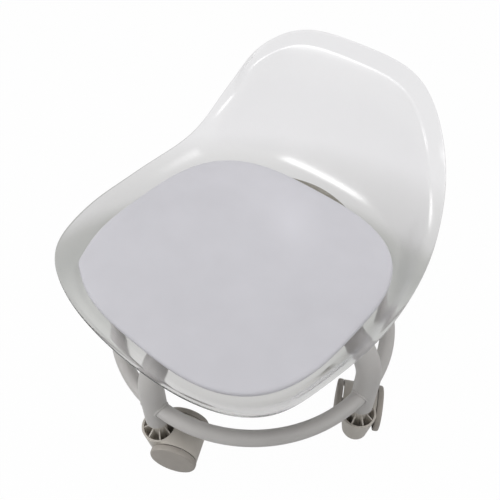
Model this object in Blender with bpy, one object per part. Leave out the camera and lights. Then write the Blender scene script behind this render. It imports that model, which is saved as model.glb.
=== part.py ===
"""Low rolling stool: a clear moulded bucket seat with a thin pad, on a welded tube base with casters.

Metres, +Z up. The sitter faces -Y, so the sitter's left is +X.
The origin is on the floor, on the base's axis.
"""

import math

import bmesh
import bpy
import numpy as np
from mathutils import Matrix, Vector

# Clearances, and how far a cutter runs past what it cuts
SEAT_GAP = 0.0003
BORE_GAP = 0.0003
CUT_PAST = 0.010

# Base: bent leg tubes, the ring welded between them and the plate that carries the seat
LEG_CIRCLE_RADIUS = 0.150
LEG_DIAMETER = 0.025
LEG_WALL = 0.0015
LEG_BEND_RADIUS = 0.060
LEG_SIDES = 12
LEG_BEND_STEPS = 6
SADDLE_SIDES = 32
RING_ABOVE_LEG_END = 0.028
RING_DIAMETER = 0.016
RING_WALL = 0.0015
RING_SIDES = 10
RING_STEPS = 8
PLATE_SIDE = 0.112
PLATE_THICKNESS = 0.003
PLATE_CORNER = 0.012
SCREW_SPACING = 0.080

# Seat shell, all measured to its inner face
PAN_HEIGHT = 0.1995
PAN_CENTRE_Y = -0.0245
PAN_SIDE_RUN = 0.0198
PAN_FRONT_RUN = 0.0151
PAN_TAPER = 0.03
PAN_SQUARENESS = 3.0
SHELL_THICKNESS = 0.003
SHELL_AROUND = 48
WALL_STEPS = 7
LIP_STEPS = 3
LIP_WIDTH = 0.014
LIP_RISE = 0.011
LIP_FRONT_SHARE = 0.25
LIP_GROWTH = 0.100
WALL_FILLET = 0.040
WALL_FILLET_SHARE = 0.95
LIP_ROUNDNESS = 0.55
WALL_HEAD_SHARE = 0.35
BOSS_DIAMETER = 0.022
BOSS_HEIGHT = 0.004
SCREW_BOSS_SIDES = 20
LIP_EDGE_STEPS = 12

# Outer edge of the lip, from the middle of the front round the sitter's left to the middle of the back:
# X and Y, and the height above the pan
LIP_EDGE = (
    (0.0000, -0.1696, 0.0042),
    (0.0805, -0.1616, 0.0080),
    (0.1316, -0.1354, 0.0160),
    (0.1516, -0.0820, 0.0205),
    (0.1583, -0.0060, 0.0180),
    (0.1500, 0.0695, 0.0295),
    (0.1318, 0.1116, 0.0780),
    (0.1030, 0.1320, 0.1260),
    (0.0615, 0.1500, 0.1505),
    (0.0000, 0.1553, 0.1545),
)

# Pad
PAD_INSET = 0.0015
PAD_THICKNESS = 0.0065
PAD_CROWN = 0.0015
PAD_EDGE = 0.0025

# Screws that hold the shell to the plate
SCREW_DIAMETER = 0.006
SCREW_HEAD_DIAMETER = 0.0125
SCREW_HEAD_HEIGHT = 0.0024
SCREW_LENGTH = 0.018
SOCKET_ACROSS = 0.004
SOCKET_DEPTH = 0.0015
WASHER_DIAMETER = 0.0125
WASHER_THICKNESS = 0.0012
NUT_ACROSS = 0.010
NUT_HEIGHT = 0.005
FASTENER_SIDES = 12

# Casters
WHEEL_RADIUS = 0.025
WHEEL_SIDES = 24
WHEEL_SIDE_GAP = 0.0004
TREAD_WIDTH = 0.005
DOME_HEIGHT = 0.0022
DISC_THICKNESS = 0.003
HUB_RADIUS = 0.0045
HUB_BOSS_GAP = 0.0008
HUB_INNER_FACE = 0.0042
AXLE_DIAMETER = 0.005
AXLE_END_COVER = 0.0025
HOOD_SIDE_GAP = 0.0008
HOOD_WALL = 0.0022
HOOD_INSET = 0.0004
HOOD_REAR_DROP = math.radians(8)
HOOD_FRONT_END = math.radians(150)
HOOD_STEPS = 12
WEB_THICKNESS = 0.005
AXLE_BOSS_RADIUS = 0.0055
AXLE_BOSS_GAP = 0.0004
WEB_FOOT = 0.006
WEB_UNDER_AXLE = 0.0077
BOSS_TOP = 0.047
BOSS_BOTTOM = 0.009
BOSS_TOP_RADIUS = 0.0187
BOSS_BOTTOM_RADIUS = 0.0138
BOSS_WALL = 0.0022
BOSS_FLOOR = 0.022
BOSS_SIDES = 24
COLLAR_RADIUS = 0.0082
COLLAR_RISE = 0.013
RIB_COUNT = 8
RIB_THICKNESS = 0.0012
RIB_RIM_DROP = 0.0015
RIB_COLLAR_RISE = 0.007
STEM_DIAMETER = 0.010
STEM_FLANGE_DIAMETER = 0.0150
STEM_FLANGE_THICKNESS = 0.0021
STEM_INSERTION = 0.030
STEM_SIDES = 12
STEM_SEAT_DEPTH = 0.018
SOCKET_FLANGE = 0.002
SOCKET_LENGTH = 0.034

# Directions in which the casters trail at rest, from +X towards +Y
CASTERS = (
    ("front", (0, -1), math.radians(25.5)),
    ("left", (1, 0), math.radians(119.0)),
    ("back", (0, 1), math.radians(205.5)),
    ("right", (-1, 0), math.radians(61.0)),
)

# Sizes that follow from those above
PAN_HALF_WIDTH = max(point[0] for point in LIP_EDGE) - PAN_SIDE_RUN
PAN_HALF_DEPTH = PAN_CENTRE_Y - LIP_EDGE[0][1] - PAN_FRONT_RUN
PAD_HALF_WIDTH = PAN_HALF_WIDTH - PAD_INSET
PAD_HALF_DEPTH = PAN_HALF_DEPTH - PAD_INSET
COLLAR_TOP = BOSS_TOP + COLLAR_RISE
STEM_FLANGE_TOP = COLLAR_TOP + SEAT_GAP + STEM_FLANGE_THICKNESS
LEG_END_HEIGHT = STEM_FLANGE_TOP + 2 * SEAT_GAP + SOCKET_FLANGE
RING_HEIGHT = LEG_END_HEIGHT + RING_ABOVE_LEG_END
BOSS_TAPER = (BOSS_TOP_RADIUS - BOSS_BOTTOM_RADIUS) / (BOSS_TOP - BOSS_BOTTOM)
BOSS_AXLE_RADIUS = BOSS_BOTTOM_RADIUS + BOSS_TAPER * (WHEEL_RADIUS - BOSS_BOTTOM)
TRAIL = BOSS_AXLE_RADIUS + HUB_RADIUS + HUB_BOSS_GAP
WHEEL_INNER_FACE = BOSS_TOP_RADIUS + WHEEL_SIDE_GAP
HOOD_HALF_WIDTH = WHEEL_INNER_FACE - HOOD_SIDE_GAP
AXLE_BOSS_HALF_WIDTH = HUB_INNER_FACE - AXLE_BOSS_GAP
SHELL_UNDERSIDE = PAN_HEIGHT - SHELL_THICKNESS
PLATE_TOP = SHELL_UNDERSIDE - BOSS_HEIGHT - SEAT_GAP
PLATE_BOTTOM = PLATE_TOP - PLATE_THICKNESS
LEG_RADIUS = LEG_DIAMETER / 2
LEG_TOP_LEVEL = PLATE_BOTTOM - SEAT_GAP - LEG_RADIUS
AXLE_RADIUS = AXLE_DIAMETER / 2
STEM_RADIUS = STEM_DIAMETER / 2


def clear_scene():
    for item in list(bpy.data.objects):
        bpy.data.objects.remove(item, do_unlink=True)


def material(name, colour, roughness, metallic=0.0, transmission=0.0):
    made = bpy.data.materials.new(name)
    made.use_nodes = True
    shader = made.node_tree.nodes["Principled BSDF"]
    shader.inputs["Base Color"].default_value = (*colour, 1.0)
    shader.inputs["Roughness"].default_value = roughness
    shader.inputs["Metallic"].default_value = metallic
    shader.inputs["Transmission Weight"].default_value = transmission
    return made


def mesh_from(name, bm):
    bmesh.ops.remove_doubles(bm, verts=bm.verts, dist=1e-6)
    bmesh.ops.recalc_face_normals(bm, faces=bm.faces)
    mesh = bpy.data.meshes.new(name)
    bm.to_mesh(mesh)
    bm.free()
    mesh.shade_smooth()
    mesh.set_sharp_from_angle(angle=math.radians(35))
    return mesh


def place(name, mesh, finish, parent=None, matrix=None):
    item = bpy.data.objects.new(name, mesh)
    bpy.context.scene.collection.objects.link(item)
    if not mesh.materials:
        mesh.materials.append(finish)
    if parent is not None:
        item.parent = parent
    if matrix is not None:
        item.matrix_local = matrix
    return item


def empty(name, location, turn=0.0):
    item = bpy.data.objects.new(name, None)
    bpy.context.scene.collection.objects.link(item)
    item.location = location
    item.rotation_euler = (0.0, 0.0, turn)
    return item


def turned(profile, steps, phase=0.0):
    """A closed outline of (radius, height) points turned about Z."""
    bm = bmesh.new()
    start = Matrix.Rotation(phase, 3, "Z")
    verts = [bm.verts.new(start @ Vector((radius, 0.0, height))) for radius, height in profile]
    edges = [bm.edges.new((a, b)) for a, b in zip(verts, verts[1:] + verts[:1])]
    bmesh.ops.spin(bm, geom=verts + edges, cent=(0, 0, 0), axis=(0, 0, 1), angle=math.tau, steps=steps)
    bmesh.ops.remove_doubles(bm, verts=bm.verts, dist=1e-6)
    return bm


def extruded(outline, low, high):
    """A flat outline of (x, y) points drawn up from low to high."""
    bm = bmesh.new()
    face = bm.faces.new([bm.verts.new((x, y, low)) for x, y in outline])
    grown = bmesh.ops.extrude_face_region(bm, geom=[face])
    moved = [part for part in grown["geom"] if isinstance(part, bmesh.types.BMVert)]
    bmesh.ops.translate(bm, verts=moved, vec=(0, 0, high - low))
    return bm


def polygon(sides, radius, phase=0.0):
    turns = [phase + math.tau * step / sides for step in range(sides)]
    return [(radius * math.cos(turn), radius * math.sin(turn)) for turn in turns]


def hexagon(across):
    return polygon(6, across / 2 / math.cos(math.pi / 6))


def lofted(loops, closed_ends=True, ring=False):
    """Faces between loops of points that match one to one; the ends are filled, or joined to make a ring."""
    bm = bmesh.new()
    rows = [[bm.verts.new(point) for point in loop] for loop in loops]
    pairs = list(zip(rows, rows[1:]))
    if ring:
        pairs.append((rows[-1], rows[0]))
    for lower, upper in pairs:
        count = len(lower)
        for step in range(count):
            after = (step + 1) % count
            bm.faces.new((lower[step], lower[after], upper[after], upper[step]))
    if closed_ends and not ring:
        bm.faces.new(rows[0])
        bm.faces.new(rows[-1])
    return bm


def combined(name, base, joined=(), cuts=()):
    """One mesh from a base with shapes joined to it and then shapes cut out of it, by Boolean."""
    host = bpy.data.objects.new(name, mesh_from(name, base))
    bpy.context.scene.collection.objects.link(host)
    helpers = []
    for operation, shapes in (("UNION", joined), ("DIFFERENCE", cuts)):
        for shape in shapes:
            helper = bpy.data.objects.new(name + "_helper", mesh_from(name + "_helper", shape))
            bpy.context.scene.collection.objects.link(helper)
            helpers.append(helper)
            step = host.modifiers.new(operation.lower(), "BOOLEAN")
            step.operation = operation
            step.solver = "EXACT"
            step.object = helper
    bpy.context.view_layer.update()
    graph = bpy.context.evaluated_depsgraph_get()
    mesh = bpy.data.meshes.new_from_object(host.evaluated_get(graph))
    for item in [host, *helpers]:
        bpy.data.objects.remove(item, do_unlink=True)
    mesh.name = name
    mesh.shade_smooth()
    mesh.set_sharp_from_angle(angle=math.radians(35))
    return mesh


def tube(path, outer, inner, sides, side_axis):
    """A hollow tube of round section along a flat path; side_axis is square to the plane of the path."""
    path = [Vector(point) for point in path]
    across = Vector(side_axis)
    outside, inside = [], []
    for step, point in enumerate(path):
        along = (path[min(step + 1, len(path) - 1)] - path[max(step - 1, 0)]).normalized()
        outward = along.cross(across).normalized()
        for loops, radius in ((outside, outer), (inside, inner)):
            loops.append([point + radius * (x * across + y * outward) for x, y in polygon(sides, 1.0)])
    return lofted(outside + inside[::-1], ring=True)


def squircle(turn, half_width, half_depth, squareness):
    """A point on a rounded square with bowed sides, narrower in front, at an angle about the pan's middle."""
    x, y = math.cos(turn), math.sin(turn)
    reach = (abs(x / half_width) ** squareness + abs(y / half_depth) ** squareness) ** (-1 / squareness)
    narrowing = 1 - PAN_TAPER * (1 - reach * y / half_depth) / 2
    return narrowing * reach * x, PAN_CENTRE_Y + reach * y


def through(points, steps):
    """A smooth closed curve through points, with the same number of steps on every span."""
    points = np.asarray(points)
    made = []
    for span in range(len(points)):
        a, b, c, d = (points[(span + shift) % len(points)] for shift in (-1, 0, 1, 2))
        for t in np.linspace(0, 1, steps, endpoint=False):
            square = (2 * a - 5 * b + 4 * c - d) * t**2
            cube = (3 * b - a - 3 * c + d) * t**3
            made.append((2 * b + (c - a) * t + square + cube) / 2)
    return np.array(made)


def even(points, count):
    """Count points at equal distances round a closed curve, from its first point."""
    closed = np.vstack([points, points[:1]])
    run = np.concatenate([[0], np.cumsum(np.linalg.norm(np.diff(closed, axis=0), axis=1))])
    where = np.linspace(0, run[-1], count, endpoint=False)
    return np.stack([np.interp(where, run, closed[:, axis]) for axis in range(3)], axis=1)


def shares(steps):
    return [(step + 1) / steps for step in range(steps)]


def bezier(t, a, b, c, d):
    s = 1 - t
    return s**3 * a + 3 * t * s**2 * b + 3 * t**2 * s * c + t**3 * d


def lip_edge():
    half = [Vector(point) + Vector((0, 0, PAN_HEIGHT)) for point in LIP_EDGE]
    mirrored = [Vector((-point.x, point.y, point.z)) for point in half[-2:0:-1]]
    return even(through(half + mirrored, LIP_EDGE_STEPS), SHELL_AROUND)


def shell_loops():
    """The inner face of the shell, as loops from the middle of the pan out to the edge of the lip."""
    edge = [Vector(point) for point in lip_edge()]
    spokes = []
    for step, tip in enumerate(edge):
        along = (edge[(step + 1) % len(edge)] - edge[step - 1]).normalized()
        outward = Vector((along.y, -along.x, 0)).normalized()
        turn = math.atan2(tip.y - PAN_CENTRE_Y, tip.x)
        pan_x, pan_y = squircle(turn, PAN_HALF_WIDTH, PAN_HALF_DEPTH, PAN_SQUARENESS)
        pan = Vector((pan_x, pan_y, PAN_HEIGHT))
        growth = min((tip.z - edge[0].z) / LIP_GROWTH, 1.0)
        lip = LIP_FRONT_SHARE + (1 - LIP_FRONT_SHARE) * growth
        shoulder = tip - lip * LIP_WIDTH * outward
        shoulder.z -= lip * LIP_RISE
        rise = shoulder - pan
        level = Vector((rise.x, rise.y, 0))
        foot = pan + level.normalized() * min(WALL_FILLET, lip * WALL_FILLET_SHARE * level.length)
        head = shoulder - WALL_HEAD_SHARE * rise
        spoke = [pan]
        for t in shares(WALL_STEPS):
            spoke.append(bezier(t, pan, foot, head, shoulder))
        crest = shoulder + rise.normalized() * lip * LIP_RISE
        leave = shoulder.lerp(crest, LIP_ROUNDNESS)
        arrive = tip.lerp(crest, LIP_ROUNDNESS)
        for t in shares(LIP_STEPS):
            spoke.append(bezier(t, shoulder, leave, arrive, tip))
        spokes.append(spoke)
    return [[spoke[row] for spoke in spokes] for row in range(len(spokes[0]))]


def screw_places():
    half = SCREW_SPACING / 2
    return [(x * half, y * half) for x, y in ((1, -1), (1, 1), (-1, 1), (-1, -1))]


def moved(bm, x=0.0, y=0.0, z=0.0):
    bmesh.ops.translate(bm, verts=bm.verts, vec=(x, y, z))
    return bm


def rod(radius, low, high, sides=FASTENER_SIDES):
    return extruded(polygon(sides, radius), low, high)


def shell_mesh():
    inner = shell_loops()
    normals = []
    for row, loop in enumerate(inner):
        before, after = inner[max(row - 1, 0)], inner[min(row + 1, len(inner) - 1)]
        for step in range(len(loop)):
            along = loop[(step + 1) % len(loop)] - loop[step - 1]
            outwards = after[step] - before[step]
            normals.append(along.cross(outwards).normalized())
    normals = [normals[row * len(inner[0]) : (row + 1) * len(inner[0])] for row in range(len(inner))]
    for step in range(len(inner[0])):
        normals[0][step] = Vector((0, 0, -1))
    outer = []
    for loop, row in zip(inner, normals):
        outer.append([point + SHELL_THICKNESS * away for point, away in zip(loop, row)])
    body = lofted(inner + outer[::-1])
    boss_top = SHELL_UNDERSIDE + SHELL_THICKNESS / 2
    boss_bottom = SHELL_UNDERSIDE - BOSS_HEIGHT
    recess = PAN_HEIGHT - SCREW_HEAD_HEIGHT - 2 * SEAT_GAP
    bosses, cuts = [], []
    past_pan = PAN_HEIGHT + CUT_PAST
    for x, y in screw_places():
        bosses.append(moved(rod(BOSS_DIAMETER / 2, boss_bottom, boss_top, SCREW_BOSS_SIDES), x, y))
        cuts.append(moved(rod(SCREW_DIAMETER / 2 + BORE_GAP, boss_bottom - CUT_PAST, past_pan), x, y))
        cuts.append(moved(rod(SCREW_HEAD_DIAMETER / 2 + BORE_GAP, recess, past_pan), x, y))
    return combined("seat_shell", body, bosses, cuts)


def pad_mesh():
    base = PAN_HEIGHT + SEAT_GAP
    rows = (
        (0.0, -2 * PAD_EDGE),
        (0.0, -PAD_EDGE),
        (0.3, -0.3 * PAD_EDGE),
        (0.6, 0.0),
        (0.85, -0.35 * PAD_EDGE),
        (1.0, -1.3 * PAD_EDGE),
        (1.0 + 0.45 * PAD_CROWN / PAD_THICKNESS, -0.18 * PAD_HALF_DEPTH),
        (1.0 + 0.85 * PAD_CROWN / PAD_THICKNESS, -0.5 * PAD_HALF_DEPTH),
        (1.0 + PAD_CROWN / PAD_THICKNESS, -0.85 * PAD_HALF_DEPTH),
    )
    loops = []
    for share, grow in rows:
        turns = [math.tau * step / SHELL_AROUND for step in range(SHELL_AROUND)]
        flat = [
            squircle(turn, PAD_HALF_WIDTH + grow, PAD_HALF_DEPTH + grow, PAN_SQUARENESS)
            for turn in turns
        ]
        loops.append([(x, y, base + share * PAD_THICKNESS) for x, y in flat])
    return mesh_from("seat_pad", lofted(loops))


def plate_mesh():
    inset = PLATE_SIDE / 2 - PLATE_CORNER
    outline = []
    for corner in range(4):
        middle = Matrix.Rotation(corner * math.pi / 2, 2) @ Vector((inset, inset))
        for step in range(5):
            turn = corner * math.pi / 2 + step * math.pi / 8
            outline.append(tuple(middle + PLATE_CORNER * Vector((math.cos(turn), math.sin(turn)))))
    body = extruded(outline, PLATE_BOTTOM, PLATE_TOP)
    holes = [
        moved(rod(SCREW_DIAMETER / 2 + BORE_GAP, PLATE_BOTTOM - CUT_PAST, PLATE_TOP + CUT_PAST), x, y)
        for x, y in screw_places()
    ]
    return combined("seat_plate", body, cuts=holes)


def leg_path(reach):
    """Points from the foot of a leg up round its bend and in to a distance from the axis, in X and Z."""
    bend_middle = LEG_CIRCLE_RADIUS - LEG_BEND_RADIUS
    bend_level = LEG_TOP_LEVEL - LEG_BEND_RADIUS
    points = [(LEG_CIRCLE_RADIUS, 0, LEG_END_HEIGHT)]
    for step in range(LEG_BEND_STEPS + 1):
        turn = step * math.pi / 2 / LEG_BEND_STEPS
        points.append(
            (bend_middle + LEG_BEND_RADIUS * math.cos(turn), 0, bend_level + LEG_BEND_RADIUS * math.sin(turn))
        )
    return points + [(reach, 0, LEG_TOP_LEVEL)]


def through_leg_mesh():
    """The tube that makes the left and right legs in one piece."""
    left = leg_path(0.0)[:-1]
    right = [(-x, y, z) for x, y, z in left[::-1]]
    return mesh_from("side_legs", tube(left + right, LEG_RADIUS, LEG_RADIUS - LEG_WALL, LEG_SIDES, (0, 1, 0)))


def butted_leg_mesh():
    """A single leg, its inner end cut to sit against the side of the tube that passes through."""
    body = tube(leg_path(0.0), LEG_RADIUS, LEG_RADIUS - LEG_WALL, LEG_SIDES, (0, 1, 0))
    saddle = rod(LEG_RADIUS + SEAT_GAP, -LEG_RADIUS - CUT_PAST, LEG_RADIUS + CUT_PAST, SADDLE_SIDES)
    bmesh.ops.rotate(saddle, verts=saddle.verts, cent=(0, 0, 0), matrix=Matrix.Rotation(math.pi / 2, 3, "X"))
    return combined("butted_leg", body, cuts=[moved(saddle, z=LEG_TOP_LEVEL)])


def ring_arc_mesh():
    """A quarter of the ring, its ends cut to sit against the legs."""
    turns = [step * math.pi / 2 / RING_STEPS for step in range(RING_STEPS + 1)]
    path = [LEG_CIRCLE_RADIUS * Vector((math.cos(turn), math.sin(turn), 0)) for turn in turns]
    path = [point + Vector((0, 0, RING_HEIGHT)) for point in path]
    radius = RING_DIAMETER / 2
    body = tube(path, radius, radius - RING_WALL, RING_SIDES, (0, 0, 1))
    saddles = []
    for x, y in ((LEG_CIRCLE_RADIUS, 0), (0, LEG_CIRCLE_RADIUS)):
        reach = radius + CUT_PAST
        saddle = rod(LEG_RADIUS + SEAT_GAP, RING_HEIGHT - reach, RING_HEIGHT + reach, SADDLE_SIDES)
        saddles.append(moved(saddle, x, y))
    return combined("ring_arc", body, cuts=saddles)


def screw_mesh():
    head_top = PAN_HEIGHT - SEAT_GAP
    head_bottom = head_top - SCREW_HEAD_HEIGHT
    shank = SCREW_DIAMETER / 2
    head = SCREW_HEAD_DIAMETER / 2
    profile = [
        (0, head_bottom - SCREW_LENGTH),
        (shank, head_bottom - SCREW_LENGTH),
        (shank, head_bottom),
        (head, head_bottom),
        (head, head_top),
        (0, head_top),
    ]
    socket = extruded(hexagon(SOCKET_ACROSS), head_top - SOCKET_DEPTH, head_top + CUT_PAST)
    return combined("seat_screw", turned(profile, FASTENER_SIDES), cuts=[socket])


def ring_mesh(name, outer, inner, low, high, sides):
    outside = [[(x, y, z) for x, y in polygon(sides, outer)] for z in (low, high)]
    inside = [[(x, y, z) for x, y in polygon(sides, inner)] for z in (high, low)]
    return mesh_from(name, lofted(outside + inside, ring=True))


def washer_mesh():
    top = PLATE_BOTTOM - SEAT_GAP
    bore = SCREW_DIAMETER / 2 + BORE_GAP
    return ring_mesh("washer", WASHER_DIAMETER / 2, bore, top - WASHER_THICKNESS, top, FASTENER_SIDES)


def nut_mesh():
    top = PLATE_BOTTOM - 2 * SEAT_GAP - WASHER_THICKNESS
    bore = rod(SCREW_DIAMETER / 2 + BORE_GAP, top - NUT_HEIGHT - CUT_PAST, top + CUT_PAST)
    body = extruded(hexagon(NUT_ACROSS), top - NUT_HEIGHT, top)
    return combined("nut", body, cuts=[bore])


def socket_mesh():
    """The plug in a leg's end that takes the stem of a caster."""
    flange_low = LEG_END_HEIGHT - SEAT_GAP - SOCKET_FLANGE
    flange_high = LEG_END_HEIGHT - SEAT_GAP
    body = LEG_RADIUS - LEG_WALL - BORE_GAP
    bore = STEM_RADIUS + BORE_GAP
    top = flange_low + SOCKET_LENGTH
    profile = [
        (bore, flange_low),
        (LEG_RADIUS - LEG_WALL / 2, flange_low),
        (LEG_RADIUS, flange_low + SOCKET_FLANGE / 2),
        (LEG_RADIUS, flange_high),
        (body, flange_high),
        (body, top),
        (bore, top),
    ]
    return mesh_from("stem_socket", turned(profile, STEM_SIDES))


def stem_mesh():
    seat = COLLAR_TOP - STEM_SEAT_DEPTH
    flange_low = COLLAR_TOP + SEAT_GAP
    flange_high = STEM_FLANGE_TOP
    flange = STEM_FLANGE_DIAMETER / 2
    top = flange_high + STEM_INSERTION
    profile = [
        (0, seat + SEAT_GAP),
        (STEM_RADIUS, seat + SEAT_GAP),
        (STEM_RADIUS, flange_low),
        (flange, flange_low),
        (flange, flange_high),
        (STEM_RADIUS, flange_high),
        (STEM_RADIUS, top - STEM_RADIUS * 0.3),
        (STEM_RADIUS * 0.7, top),
        (0, top),
    ]
    return mesh_from("caster_stem", turned(profile, STEM_SIDES))


def laid_on_axle(bm):
    """Turns a shape made about Z so that its axis is the axle, across the caster."""
    turn = Matrix.Rotation(-math.pi / 2, 3, "X")
    bmesh.ops.rotate(bm, verts=bm.verts, cent=(0, 0, 0), matrix=turn)
    return moved(bm, x=TRAIL, z=WHEEL_RADIUS)


def fender():
    """The hood over the wheels: part of a drum about the axle, from low at the rear to inside the boss."""
    outer = WHEEL_RADIUS - HOOD_INSET
    inner = outer - HOOD_WALL
    sweep = HOOD_FRONT_END + HOOD_REAR_DROP
    turns = [-HOOD_REAR_DROP + sweep * step / HOOD_STEPS for step in range(HOOD_STEPS + 1)]
    outline = [(outer * math.cos(turn), outer * math.sin(turn)) for turn in turns]
    outline += [(inner * math.cos(turn), inner * math.sin(turn)) for turn in turns[::-1]]
    bm = extruded(outline, -HOOD_HALF_WIDTH, HOOD_HALF_WIDTH)
    bmesh.ops.rotate(bm, verts=bm.verts, cent=(0, 0, 0), matrix=Matrix.Rotation(math.pi / 2, 3, "X"))
    return moved(bm, x=TRAIL, z=WHEEL_RADIUS)


def web():
    """The middle wall that ties the boss, the fender and the axle together."""
    reach = WHEEL_RADIUS - HOOD_INSET - HOOD_WALL / 2
    sweep = math.pi + HOOD_REAR_DROP
    turns = [-HOOD_REAR_DROP + sweep * step / HOOD_STEPS for step in range(HOOD_STEPS + 1)]
    outline = [(reach * math.cos(turn), reach * math.sin(turn)) for turn in turns]
    outline += [(-TRAIL, BOSS_BOTTOM + WEB_FOOT - WHEEL_RADIUS), (0.0, -WEB_UNDER_AXLE)]
    bm = extruded(outline, -WEB_THICKNESS / 2, WEB_THICKNESS / 2)
    bmesh.ops.rotate(bm, verts=bm.verts, cent=(0, 0, 0), matrix=Matrix.Rotation(math.pi / 2, 3, "X"))
    return moved(bm, x=TRAIL, z=WHEEL_RADIUS)


def ribs():
    """Thin webs from the collar out to the wall of the boss, lower at the wall."""
    inner = COLLAR_RADIUS - BOSS_WALL / 2
    outer = BOSS_TOP_RADIUS - BOSS_WALL / 2
    low = BOSS_FLOOR - BOSS_WALL / 2
    made = []
    for step in range(RIB_COUNT):
        outline = [
            (inner, low),
            (BOSS_BOTTOM_RADIUS - BOSS_WALL / 4, low),
            (outer - BOSS_WALL / 4, BOSS_TOP - RIB_RIM_DROP),
            (inner, BOSS_TOP + RIB_COLLAR_RISE),
        ]
        bm = extruded(outline, -RIB_THICKNESS / 2, RIB_THICKNESS / 2)
        bmesh.ops.rotate(bm, verts=bm.verts, cent=(0, 0, 0), matrix=Matrix.Rotation(math.pi / 2, 3, "X"))
        turn = math.tau * (step + 0.5) / RIB_COUNT
        bmesh.ops.rotate(bm, verts=bm.verts, cent=(0, 0, 0), matrix=Matrix.Rotation(turn, 3, "Z"))
        made.append(bm)
    return made


def hood_mesh():
    """The moulded body of a caster, with its stem on Z and its wheels behind at +X."""
    edge = BOSS_WALL / 2
    boss = turned(
        [
            (0, BOSS_BOTTOM),
            (BOSS_BOTTOM_RADIUS - edge, BOSS_BOTTOM),
            (BOSS_BOTTOM_RADIUS, BOSS_BOTTOM + edge),
            (BOSS_TOP_RADIUS, BOSS_TOP),
            (0, BOSS_TOP),
        ],
        BOSS_SIDES,
    )
    axle_boss = laid_on_axle(rod(AXLE_BOSS_RADIUS, -AXLE_BOSS_HALF_WIDTH, AXLE_BOSS_HALF_WIDTH))
    cavity = turned(
        [
            (0, BOSS_FLOOR),
            (BOSS_BOTTOM_RADIUS - BOSS_WALL, BOSS_FLOOR),
            (BOSS_TOP_RADIUS - BOSS_WALL, BOSS_TOP),
            (BOSS_TOP_RADIUS - BOSS_WALL, COLLAR_TOP),
            (0, COLLAR_TOP),
        ],
        BOSS_SIDES,
    )
    cup = bmesh.new()
    cup.from_mesh(combined("hood_cup", boss, [fender(), web(), axle_boss], [cavity]))
    collar = turned(
        [
            (0, BOSS_FLOOR - BOSS_WALL / 2),
            (COLLAR_RADIUS, BOSS_FLOOR - BOSS_WALL / 2),
            (COLLAR_RADIUS, COLLAR_TOP),
            (0, COLLAR_TOP),
        ],
        STEM_SIDES,
    )
    stem_bore = rod(STEM_RADIUS + BORE_GAP, COLLAR_TOP - STEM_SEAT_DEPTH, COLLAR_TOP + CUT_PAST, STEM_SIDES)
    axle_bore = laid_on_axle(rod(AXLE_RADIUS + BORE_GAP, -HOOD_HALF_WIDTH, HOOD_HALF_WIDTH))
    return combined("caster_hood", cup, [collar, *ribs()], [stem_bore, axle_bore])


def wheel_mesh():
    """A wheel turned about Z, its domed face up: a dished disc with a flat tread and a blind hub."""
    rim = WHEEL_RADIUS / math.cos(math.pi / WHEEL_SIDES)
    inner = WHEEL_INNER_FACE
    face = inner + TREAD_WIDTH
    dome = face + DOME_HEIGHT
    bore = AXLE_RADIUS + BORE_GAP
    bore_end = dome - AXLE_END_COVER
    recess = face - DISC_THICKNESS
    ring_inside = rim - DISC_THICKNESS
    profile = [
        (0, bore_end),
        (bore, bore_end),
        (bore, HUB_INNER_FACE),
        (HUB_RADIUS, HUB_INNER_FACE),
        (HUB_RADIUS, recess),
        (ring_inside, recess),
        (ring_inside, inner),
        (rim, inner),
        (rim, face),
        (rim - 0.6 * DOME_HEIGHT, face + 0.45 * DOME_HEIGHT),
        (0.6 * rim, face + 0.85 * DOME_HEIGHT),
        (0, dome),
    ]
    return mesh_from("caster_wheel", turned(profile, WHEEL_SIDES, math.pi / WHEEL_SIDES))


def axle_mesh():
    half = WHEEL_INNER_FACE + TREAD_WIDTH + DOME_HEIGHT - AXLE_END_COVER - SEAT_GAP
    return mesh_from("caster_axle", rod(AXLE_RADIUS, -half, half))


def build_seat(finishes):
    place("seat_shell", shell_mesh(), finishes["clear"])
    place("seat_pad", pad_mesh(), finishes["pad"])
    place("seat_plate", plate_mesh(), finishes["paint"])
    screw, washer, nut = screw_mesh(), washer_mesh(), nut_mesh()
    for number, (x, y) in enumerate(screw_places(), 1):
        where = Matrix.Translation((x, y, 0))
        place(f"seat_screw_{number}", screw, finishes["steel"], matrix=where)
        place(f"seat_washer_{number}", washer, finishes["steel"], matrix=where)
        place(f"seat_nut_{number}", nut, finishes["steel"], matrix=where)


def build_base(finishes):
    place("side_legs", through_leg_mesh(), finishes["paint"])
    leg = butted_leg_mesh()
    place("front_leg", leg, finishes["paint"], matrix=Matrix.Rotation(-math.pi / 2, 4, "Z"))
    place("back_leg", leg, finishes["paint"], matrix=Matrix.Rotation(math.pi / 2, 4, "Z"))
    arc = ring_arc_mesh()
    for quarter, name in enumerate(("left_back", "back_right", "right_front", "front_left")):
        place(f"ring_{name}", arc, finishes["paint"], matrix=Matrix.Rotation(quarter * math.pi / 2, 4, "Z"))


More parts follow.
